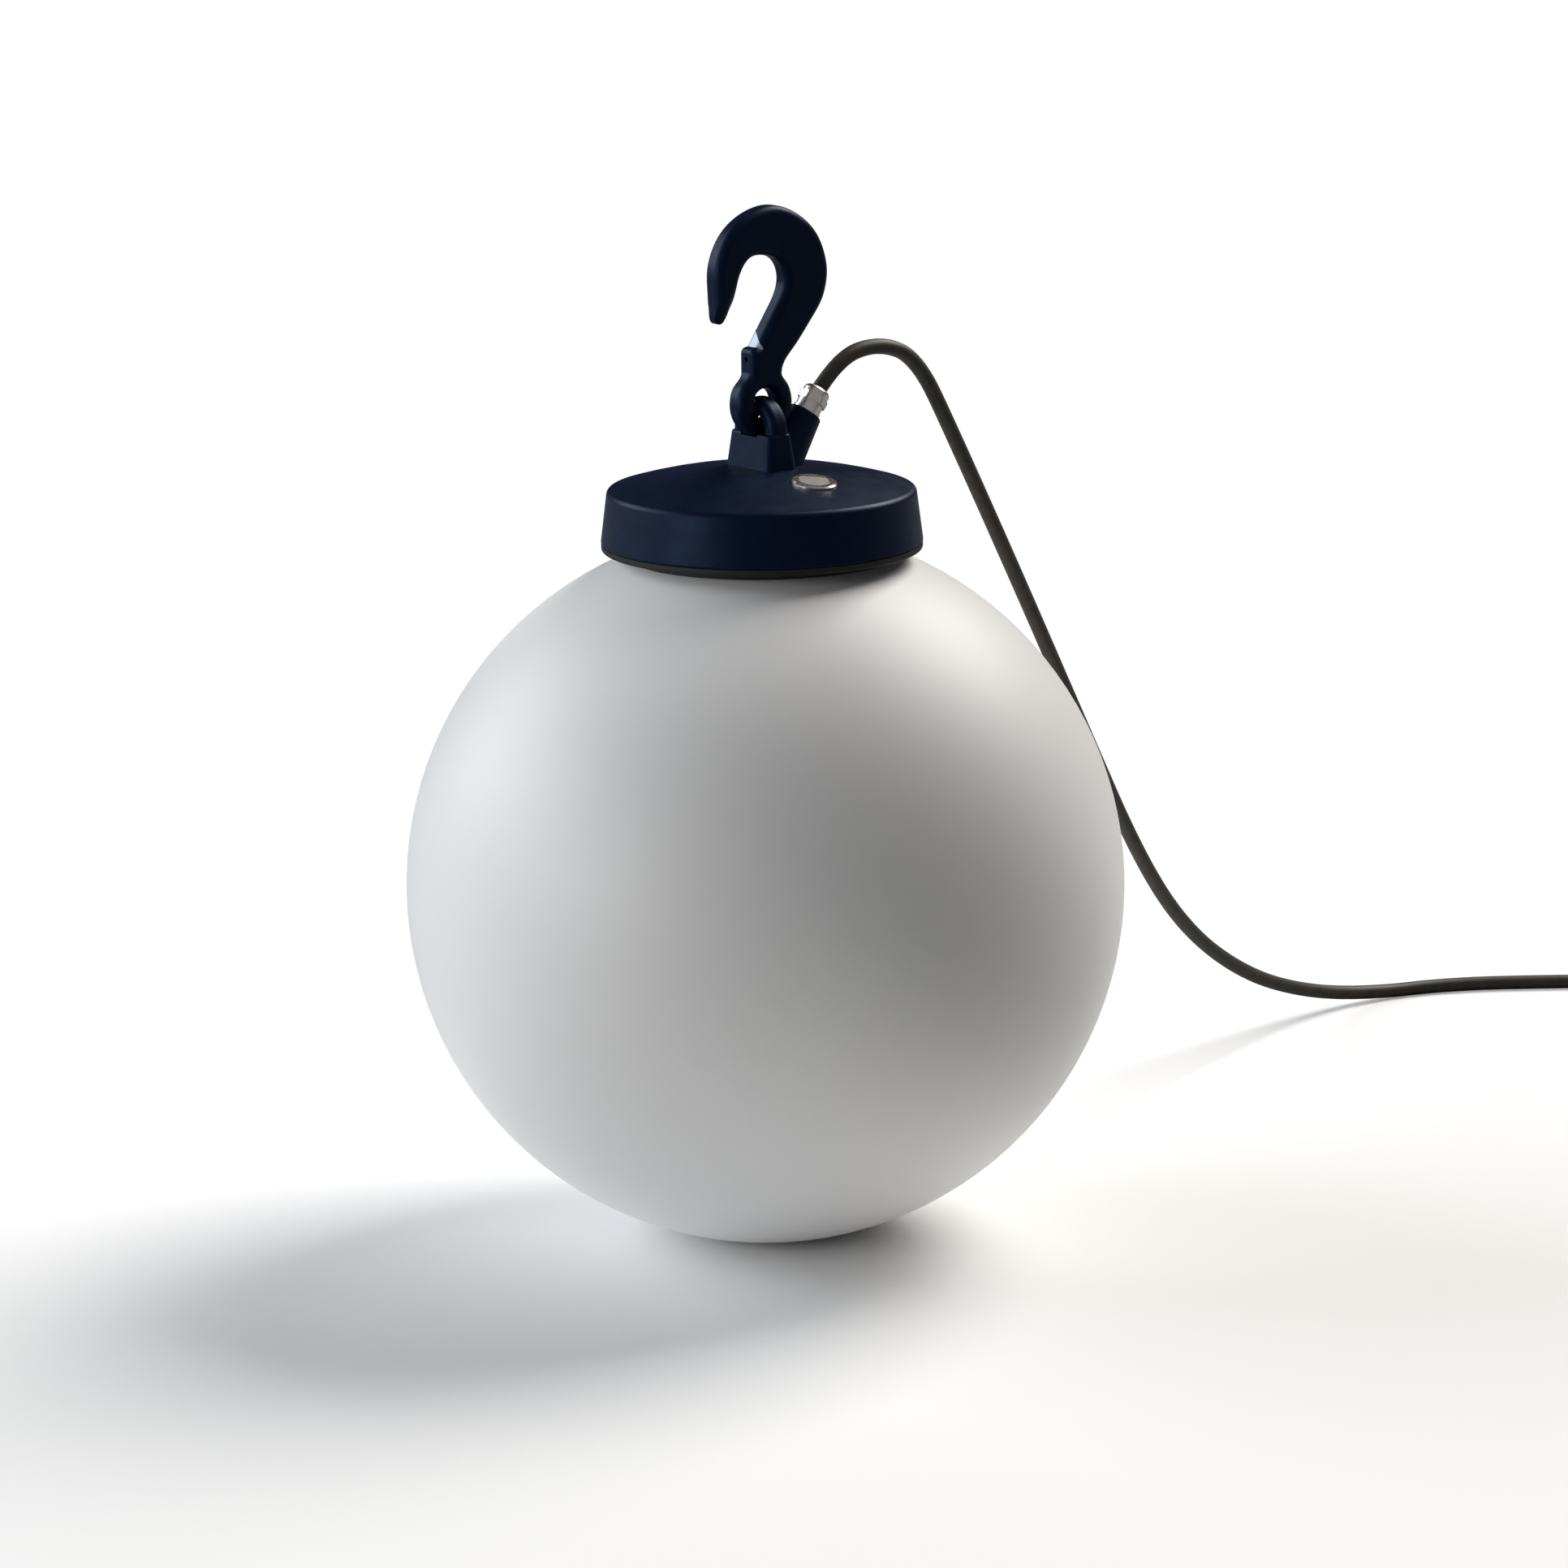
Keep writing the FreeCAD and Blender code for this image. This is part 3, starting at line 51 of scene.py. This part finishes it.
# Cable: the same route as the CAD solid, in metres
CABLE_D = 0.0066
BOSS_FACE = Vector((0.0234, 0.0, 0.3448))
BOSS_TILT = math.radians(38.0)
GLAND_TOP = 0.0116
CABLE_START = 0.008
CABLE_FIRST_RUN = 0.0226
CABLE_POINTS = [
    (0.0629, 0.0, 0.3702),
    (0.0834, 0.0, 0.3616),
    (0.1030, 0.0005, 0.3273),
    (0.1379, 0.0014, 0.2632),
    (0.1872, 0.0176, 0.1910),
    (0.2448, 0.0426, 0.1150),
    (0.2978, 0.0693, 0.0675),
    (0.3557, 0.0926, 0.0330),
    (0.4109, 0.1104, 0.0123),
    (0.4572, 0.1142, 0.0033),
    (0.4989, 0.1026, 0.0033),
    (0.5446, 0.0701, 0.0033),
    (0.5815, 0.0392, 0.0033),
    (0.6120, 0.0155, 0.0045),
]

# Coil of the length that is put away, in four layers that run in, out, in and out
COIL_OUTER_R = 0.0542
COIL_INNER_R = 0.0278
COIL_LAYERS = 4
COIL_ENTRY = math.radians(52.2)
COIL_EXIT = math.radians(-60.0)
COIL_WHOLE_TURNS = 16
COIL_CLIMB = 0.3
COIL_STEPS = 16

# Short end to the plug: distance along the coil's tangent, out from it, and height
TAIL_STEPS = [(0.0, 0.0, 0.0243), (0.014, 0.0004, 0.0239), (0.028, 0.0018, 0.0190), (0.042, 0.0036, 0.0185)]

# Seat ground for a latch on the hook's shank, above the lug: a triangle, laid out from a point on the shank;
# the search is how far to either side of its plane the shank's surface is looked for
SEAT_BASE = Vector((-0.0031, 0.0, 0.3763))
SEAT_UP = Vector((0.545, 0.0, 0.838))
SEAT_LOW = -0.0017
SEAT_HIGH = 0.0064
SEAT_BACK = 0.0037
SEAT_WIDTH = 0.0096
SEAT_FRONT_LIMIT = 0.0083
SEAT_DEPTH = 0.0003
SEAT_STEPS = 14
SEAT_TIP_WIDTH = 0.0004
SEAT_SEARCH = 0.005

# Floor: half its width, its brightness to the camera, and as a reflector under the object and further away
FLOOR_HALF = 12.0
FLOOR_SEEN = 0.98
FLOOR_BOUNCE = (0.95, 0.28)
FLOOR_BOUNCE_REACH = (0.1, 0.45)

# Distances from the object between which the floor turns to plain white
FLOOR_FADE = (0.24, 0.95)

# The room's colour, its brightness as a soft fill, and as glossy surfaces reflect it behind the object and
# in front; the turn says where between behind (-1) and in front (1) the reflection brightens
WORLD_COLOUR = (0.95, 0.97, 1.0)
WORLD_FILL = 0.07
WORLD_GLOSS = (0.02, 0.28)
WORLD_GLOSS_TURN = (-0.3, 0.7)

# Lamps: angle from the picture's right towards the back, rise, width, height, watts and colour
LAMPS = [
    ("back_right_lamp", 41, 44, 2.4, 2.2, 174.0, (1.0, 0.96, 0.915)),
    ("left_lamp", 165, 24, 3.6, 2.2, 116.0, (0.89, 0.945, 1.0)),
    ("low_left_lamp", 214, 7, 2.2, 2.0, 62.0, (1.0, 0.985, 0.97)),
]
LAMP_DISTANCE = 4.0
LAMP_TARGET = Vector((0, 0, 0.15))

# Colours, linear
NAVY = (0.0028, 0.0072, 0.0250)
OPAL = (0.86, 0.86, 0.86)
NICKEL = (0.80, 0.75, 0.705)
SEAL = (0.005, 0.0058, 0.0056)
CABLE_COLOUR = (0.042, 0.035, 0.029)
GROUND_STEEL = (0.38, 0.40, 0.50)

# Parts of the noise's range over which colour and roughness drift
TINT_BAND = (0.35, 0.65)
WEAR_BAND = (0.3, 0.7)


def seen(right, back, up):
    """Point or direction in the row frame from the picture's right, its depth and height."""
    cos, sin = math.cos(VIEW_YAW), math.sin(VIEW_YAW)
    return Vector((right * cos + back * sin, back * cos - right * sin, up))


def make_camera():
    """Camera at the photograph's viewing angle."""
    data = bpy.data.cameras.new("photo_camera")
    data.lens = CAMERA_LENS
    data.sensor_width = CAMERA_SENSOR
    camera = bpy.data.objects.new("photo_camera", data)
    bpy.context.scene.collection.objects.link(camera)
    camera.location = seen(0, -CAMERA_DISTANCE, CAMERA_HEIGHT)
    turn = Euler((math.pi / 2 - CAMERA_TILT, 0, -VIEW_YAW - CAMERA_PAN)).to_matrix()
    turn = turn @ Matrix.Rotation(-CAMERA_ROLL, 3, "Z")
    camera.rotation_mode = "QUATERNION"
    camera.rotation_quaternion = turn.to_quaternion()
    bpy.context.scene.camera = camera


def around(centre, radius, angle, height):
    """Point beside a centre, at an angle and a height."""
    return Vector((centre.x + radius * math.cos(angle), centre.y + radius * math.sin(angle), height))


def cable_start():
    """The cable's start inside the gland, and the end of its straight run out of it."""
    axis = Vector((math.sin(BOSS_TILT), 0, math.cos(BOSS_TILT)))
    start = BOSS_FACE + axis * (GLAND_TOP - CABLE_START)
    return [start, start + axis * CABLE_FIRST_RUN]


def coil_points(centre):
    """Control points of the coil, clockwise from above, one turn after the other."""
    turns = COIL_WHOLE_TURNS + (COIL_ENTRY - COIL_EXIT) / (2 * math.pi)
    layer_turns = (turns - COIL_CLIMB * (COIL_LAYERS - 1)) / COIL_LAYERS
    # Share of its control points' radius that the curve reaches at its widest
    outside = 0.25 * (3 + math.cos(2 * math.pi / COIL_STEPS))
    count = round(turns * COIL_STEPS)
    points = []
    for k in range(1, count):
        turn = turns * k / count
        layer = min(int(turn / (layer_turns + COIL_CLIMB)), COIL_LAYERS - 1)
        along = turn - layer * (layer_turns + COIL_CLIMB)
        share = min(along / layer_turns, 1.0)
        climb = max(along - layer_turns, 0.0) / COIL_CLIMB
        if layer % 2:
            share = 1.0 - share
        radius = COIL_OUTER_R + (COIL_INNER_R - COIL_OUTER_R) * share
        height = CABLE_POINTS[-1][2] + CABLE_D * (layer + climb)
        points.append(around(centre, radius / outside, COIL_ENTRY - 2 * math.pi * turn, height))
    return points


def tail_points(centre):
    """Control points from the coil to the plug, along a tangent of the coil."""
    start = around(centre, COIL_OUTER_R, COIL_EXIT, 0)
    out = Vector((math.cos(COIL_EXIT), math.sin(COIL_EXIT), 0))
    along = Vector((out.y, -out.x, 0))
    return [
        start + along * step + out * shift + Vector((0, 0, height))
        for step, shift, height in TAIL_STEPS]


def make_cable(material):
    """The whole cable on one smooth curve, from inside the gland to the plug's relief."""
    last = Vector(CABLE_POINTS[-1])
    centre = around(last, -COIL_OUTER_R, COIL_ENTRY, 0)
    points = cable_start() + [Vector(point) for point in CABLE_POINTS]
    points += coil_points(centre) + tail_points(centre)
    curve = bpy.data.curves.new("cable_line", "CURVE")
    curve.dimensions = "3D"
    spline = curve.splines.new("NURBS")
    spline.points.add(len(points) - 1)
    for control, point in zip(spline.points, points):
        control.co = (*point, 1.0)
    spline.order_u = 3
    spline.use_endpoint_u = True
    curve.resolution_u = 10
    curve.bevel_depth = CABLE_D / 2
    curve.bevel_resolution = 6
    curve.use_fill_caps = True
    cable = bpy.data.objects.new("cable_whole", curve)
    bpy.context.scene.collection.objects.link(cable)
    curve.materials.append(material)
    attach(cable, "head")
    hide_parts("cable", "cable_coil", "cable_tail")


def new_material(name, colour, roughness, metallic=0.0, specular=0.5):
    """Material with a principled shader, and its node tree."""
    material = bpy.data.materials.new(name)
    material.use_nodes = True
    tree = material.node_tree
    shader = tree.nodes["Principled BSDF"]
    shader.inputs["Base Color"].default_value = (*colour, 1)
    shader.inputs["Roughness"].default_value = roughness
    shader.inputs["Metallic"].default_value = metallic
    shader.inputs["Specular IOR Level"].default_value = specular
    return material, tree, shader


def noise(tree, scale, detail=3.0, stretch=(1, 1, 1)):
    """Noise in the object's own metres, so that its grain has a real size."""
    place = tree.nodes.new("ShaderNodeTexCoord")
    mapping = tree.nodes.new("ShaderNodeMapping")
    mapping.inputs["Scale"].default_value = stretch
    texture = tree.nodes.new("ShaderNodeTexNoise")
    texture.inputs["Scale"].default_value = scale
    texture.inputs["Detail"].default_value = detail
    tree.links.new(place.outputs["Object"], mapping.inputs["Vector"])
    tree.links.new(mapping.outputs["Vector"], texture.inputs["Vector"])
    return texture.outputs["Fac"]


def add_grain(tree, shader, scale, depth, strength=0.3, detail=3.0, stretch=(1, 1, 1)):
    """Fine bump of the surface."""
    bump = tree.nodes.new("ShaderNodeBump")
    bump.inputs["Strength"].default_value = strength
    bump.inputs["Distance"].default_value = depth
    tree.links.new(noise(tree, scale, detail, stretch), bump.inputs["Height"])
    tree.links.new(bump.outputs["Normal"], shader.inputs["Normal"])


def add_tint(tree, shader, low, high, scale, detail=4.0):
    """Base colour that drifts between two colours."""
    ramp = tree.nodes.new("ShaderNodeValToRGB")
    ramp.color_ramp.elements[0].position = TINT_BAND[0]
    ramp.color_ramp.elements[0].color = (*low, 1)
    ramp.color_ramp.elements[1].position = TINT_BAND[1]
    ramp.color_ramp.elements[1].color = (*high, 1)
    tree.links.new(noise(tree, scale, detail), ramp.inputs["Fac"])
    tree.links.new(ramp.outputs["Color"], shader.inputs["Base Color"])


def add_range(tree, value, source, target, kind="LINEAR"):
    """Value carried from one range to another."""
    spread = tree.nodes.new("ShaderNodeMapRange")
    spread.interpolation_type = kind
    spread.inputs["From Min"].default_value = source[0]
    spread.inputs["From Max"].default_value = source[1]
    spread.inputs["To Min"].default_value = target[0]
    spread.inputs["To Max"].default_value = target[1]
    tree.links.new(value, spread.inputs["Value"])
    return spread.outputs["Result"]


def add_wear(tree, shader, low, high, scale):
    """Roughness that drifts between two values."""
    wear = add_range(tree, noise(tree, scale, detail=5.0), WEAR_BAND, (low, high))
    tree.links.new(wear, shader.inputs["Roughness"])


def shade(colour, factor):
    """Colour made lighter or darker."""
    return tuple(min(channel * factor, 1.0) for channel in colour)


def opal_plastic():
    material, tree, shader = new_material("opal_plastic", OPAL, roughness=0.48)
    add_tint(tree, shader, shade(OPAL, 0.985), shade(OPAL, 1.01), scale=9.0)
    add_grain(tree, shader, scale=2600.0, depth=0.00004, strength=0.25)
    shader.inputs["Sheen Weight"].default_value = 0.25
    shader.inputs["Sheen Roughness"].default_value = 0.5
    shader.inputs["Subsurface Weight"].default_value = 0.15
    shader.inputs["Subsurface Radius"].default_value = (0.012, 0.012, 0.011)
    return material


def powder_coat():
    material, tree, shader = new_material("powder_coat", NAVY, roughness=0.40)
    shader.inputs["IOR"].default_value = 1.25
    shader.inputs["Specular Tint"].default_value = (0.35, 0.58, 1.0, 1)
    add_tint(tree, shader, shade(NAVY, 0.9), shade(NAVY, 1.12), scale=160.0)
    add_wear(tree, shader, low=0.36, high=0.45, scale=120.0)
    add_grain(tree, shader, scale=1100.0, depth=0.00012, strength=0.22, detail=2.0)
    return material


def nickel_plate(name="nickel_plate", roughness=0.3, level=1.0):
    material, tree, shader = new_material(name, shade(NICKEL, level), roughness, metallic=1.0)
    add_tint(tree, shader, shade(NICKEL, 0.94 * level), shade(NICKEL, 1.04 * level), scale=300.0)
    add_wear(tree, shader, low=roughness - 0.05, high=roughness + 0.06, scale=700.0)
    return material


def rubber(name, colour, roughness):
    material, tree, shader = new_material(name, colour, roughness, specular=0.35)
    add_tint(tree, shader, shade(colour, 0.85), shade(colour, 1.2), scale=220.0)
    add_grain(tree, shader, scale=1800.0, depth=0.00008)
    return material


def moulded_plastic(name, colour, roughness=0.5):
    material, tree, shader = new_material(name, colour, roughness)
    add_tint(tree, shader, shade(colour, 0.94), shade(colour, 1.05), scale=90.0)
    add_grain(tree, shader, scale=1500.0, depth=0.00005, strength=0.2)
    return material


def bare_metal(name, colour, roughness):
    material, tree, shader = new_material(name, colour, roughness, metallic=1.0)
    add_tint(tree, shader, shade(colour, 0.88), shade(colour, 1.06), scale=140.0)
    add_grain(tree, shader, scale=500.0, depth=0.00003, strength=0.2, detail=2.0, stretch=(1, 1, 8))
    return material


def dress_nodes():
    """Every CAD piece that stays gets its material."""
    navy = powder_coat()
    zinc = bare_metal("zinc_plate", (0.55, 0.56, 0.58), roughness=0.34)
    brass = bare_metal("brass", (0.72, 0.50, 0.22), roughness=0.3)
    seal = rubber("seal_rubber", SEAL, roughness=0.62)
    plug = rubber("plug_rubber", (0.018, 0.018, 0.018), roughness=0.55)
    lead = moulded_plastic("lead_cover", (0.14, 0.07, 0.035), roughness=0.45)
    black = moulded_plastic("black_moulding", (0.018, 0.018, 0.019))
    lamp = moulded_plastic("lamp_white", (0.78, 0.78, 0.78), roughness=0.35)
    metal = bare_metal("lamp_metal", (0.72, 0.72, 0.73), roughness=0.3)
    block = moulded_plastic("block_plastic", (0.74, 0.72, 0.66))
    nylon = moulded_plastic("tie_nylon", (0.70, 0.70, 0.66), roughness=0.4)
    nickel = nickel_plate()
    bright = nickel_plate("bezel_nickel", roughness=0.24)
    matt = nickel_plate("button_nickel", roughness=0.55, level=0.42)
    cable = rubber("cable_rubber", CABLE_COLOUR, roughness=0.5)
    finishes = [
        (opal_plastic(), ["globe_diffuser", "bulb_envelope"]),
        (navy, ["cap_shell", "bail_bracket", "hook"]),
        (nickel, ["gland_body", "gland_nut", "plug_pins"]),
        (bright, ["button_bezel"]),
        (matt, ["button_cap"]),
        (seal, ["cap_seal", "gland_seal", "gland_oring", "button_oring"]),
        (plug, ["plug_relief", "plug_body"]),
        (nylon, ["cable_ties"]),
        (black, ["bayonet_ring", "lamp_holder", "switch_body"]),
        (zinc, ["gear_tray", "ring_screws", "bracket_screws", "holder_screws"]),
        (zinc, ["button_nut", "plug_earth_clips"]),
        (brass, ["holder_screw_shell", "holder_contact", "earth_screw", "terminal_screws"]),
        (metal, ["bulb_base", "bulb_tip"]),
        (lamp, ["bulb_body"]),
        (block, ["terminal_block"]),
        (lead, ["supply_leads", "holder_leads", "switch_leads"]),
        (cable, ["cable_sheath_end"]),
    ]
    for material, names in finishes:
        for name in names:
            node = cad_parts[name]
            if not node.material_slots:
                node.data.materials.append(material)
            for place in node.material_slots:
                place.material = material
    return cable


def make_latch_seat(material):
    """Ground face that bares the hook's metal, laid on the shank's own surface."""
    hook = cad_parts["hook"].data
    surface = BVHTree.FromPolygons(
        [vertex.co.copy() for vertex in hook.vertices],
        [tuple(face.vertices) for face in hook.polygons])
    into = Vector((SEAT_UP.z, 0, -SEAT_UP.x))
    seat = bmesh.new()
    rows = []
    for i in range(SEAT_STEPS + 1):
        height = SEAT_LOW + (SEAT_HIGH - SEAT_LOW) * i / SEAT_STEPS
        width = max(min(SEAT_WIDTH * (1 - i / SEAT_STEPS), SEAT_FRONT_LIMIT), SEAT_TIP_WIDTH)
        row = []
        for j in range(SEAT_STEPS + 1):
            aim = SEAT_BASE + SEAT_UP * height + Vector((0, SEAT_BACK - width * j / SEAT_STEPS, 0))
            spot, _, _, _ = surface.ray_cast(aim - into * SEAT_SEARCH, into, 2 * SEAT_SEARCH)
            row.append(seat.verts.new(spot))
        rows.append(row)
    for low, high in zip(rows, rows[1:]):
        for j in range(SEAT_STEPS):
            seat.faces.new((low[j], low[j + 1], high[j + 1], high[j]))
    bmesh.ops.recalc_face_normals(seat, faces=seat.faces)
    mesh = bpy.data.meshes.new("latch_seat")
    seat.to_mesh(mesh)
    seat.free()
    piece = bpy.data.objects.new("latch_seat", mesh)
    bpy.context.scene.collection.objects.link(piece)
    mesh.materials.append(material)
    skin = piece.modifiers.new("thickness", "SOLIDIFY")
    skin.thickness = SEAT_DEPTH
    skin.offset = 0.0
    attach(piece, "hook")


def make_floor():
    """Pale floor that turns to plain white away from the object."""
    mesh = bpy.data.meshes.new("floor")
    corners = [(x * FLOOR_HALF, y * FLOOR_HALF, 0) for x, y in ((-1, -1), (1, -1), (1, 1), (-1, 1))]
    mesh.from_pydata(corners, [], [(0, 1, 2, 3)])
    floor = bpy.data.objects.new("floor", mesh)
    bpy.context.scene.collection.objects.link(floor)
    material, tree, shader = new_material("floor", (FLOOR_SEEN,) * 3, roughness=0.9, specular=0.0)
    place = tree.nodes.new("ShaderNodeTexCoord")
    length = tree.nodes.new("ShaderNodeVectorMath")
    length.operation = "LENGTH"
    tree.links.new(place.outputs["Object"], length.inputs[0])
    path = tree.nodes.new("ShaderNodeLightPath")
    bounce = add_range(tree, length.outputs["Value"], FLOOR_BOUNCE_REACH, FLOOR_BOUNCE, "SMOOTHSTEP")
    tone = tree.nodes.new("ShaderNodeMapRange")
    tone.inputs["To Max"].default_value = FLOOR_SEEN
    tree.links.new(bounce, tone.inputs["To Min"])
    tree.links.new(path.outputs["Is Camera Ray"], tone.inputs["Value"])
    tree.links.new(tone.outputs["Result"], shader.inputs["Base Color"])
    share = tree.nodes.new("ShaderNodeMath")
    share.operation = "MULTIPLY"
    fade = add_range(tree, length.outputs["Value"], FLOOR_FADE, (0.0, 1.0), "SMOOTHSTEP")
    tree.links.new(fade, share.inputs[0])
    tree.links.new(path.outputs["Is Camera Ray"], share.inputs[1])
    white = tree.nodes.new("ShaderNodeEmission")
    mix = tree.nodes.new("ShaderNodeMixShader")
    tree.links.new(share.outputs["Value"], mix.inputs["Fac"])
    tree.links.new(shader.outputs["BSDF"], mix.inputs[1])
    tree.links.new(white.outputs["Emission"], mix.inputs[2])
    tree.links.new(mix.outputs["Shader"], tree.nodes["Material Output"].inputs["Surface"])
    mesh.materials.append(material)


def make_world():
    """Room that fills softly and that glossy surfaces reflect; to the camera a plain pale backdrop."""
    world = bpy.data.worlds.new("studio")
    bpy.context.scene.world = world
    world.use_nodes = True
    tree = world.node_tree
    tree.nodes.clear()
    place = tree.nodes.new("ShaderNodeTexCoord")
    facing = tree.nodes.new("ShaderNodeVectorMath")
    facing.operation = "DOT_PRODUCT"
    facing.inputs[1].default_value = seen(0, -1, 0)
    tree.links.new(place.outputs["Generated"], facing.inputs[0])
    gloss = add_range(tree, facing.outputs["Value"], WORLD_GLOSS_TURN, WORLD_GLOSS)
    path = tree.nodes.new("ShaderNodeLightPath")
    level = tree.nodes.new("ShaderNodeMapRange")
    level.inputs["To Min"].default_value = WORLD_FILL
    tree.links.new(gloss, level.inputs["To Max"])
    tree.links.new(path.outputs["Is Glossy Ray"], level.inputs["Value"])
    room = tree.nodes.new("ShaderNodeBackground")
    room.inputs["Color"].default_value = (*WORLD_COLOUR, 1)
    tree.links.new(level.outputs["Result"], room.inputs["Strength"])
    backdrop = tree.nodes.new("ShaderNodeBackground")
    mix = tree.nodes.new("ShaderNodeMixShader")
    tree.links.new(path.outputs["Is Camera Ray"], mix.inputs["Fac"])
    tree.links.new(room.outputs["Background"], mix.inputs[1])
    tree.links.new(backdrop.outputs["Background"], mix.inputs[2])
    output = tree.nodes.new("ShaderNodeOutputWorld")
    tree.links.new(mix.outputs["Shader"], output.inputs["Surface"])


def add_lamp(name, side_deg, rise_deg, width, height, power, colour):
    """Soft lamp that faces the globe; side_deg counts from the picture's right, towards the back."""
    data = bpy.data.lights.new(name, "AREA")
    data.shape = "RECTANGLE"
    data.size = width
    data.size_y = height
    data.energy = power
    data.color = colour
    lamp = bpy.data.objects.new(name, data)
    bpy.context.scene.collection.objects.link(lamp)
    side, rise = math.radians(side_deg), math.radians(rise_deg)
    toward = seen(math.cos(side) * math.cos(rise), math.sin(side) * math.cos(rise), math.sin(rise))
    lamp.location = LAMP_TARGET + toward * LAMP_DISTANCE
    lamp.rotation_mode = "QUATERNION"
    lamp.rotation_quaternion = toward.to_track_quat("Z", "Y")


bpy.context.scene.view_settings.view_transform = "Standard"
make_camera()
cable_material = dress_nodes()
make_cable(cable_material)
make_latch_seat(bare_metal("ground_steel", GROUND_STEEL, roughness=0.5))
make_floor()
make_world()
for lamp in LAMPS:
    add_lamp(*lamp)
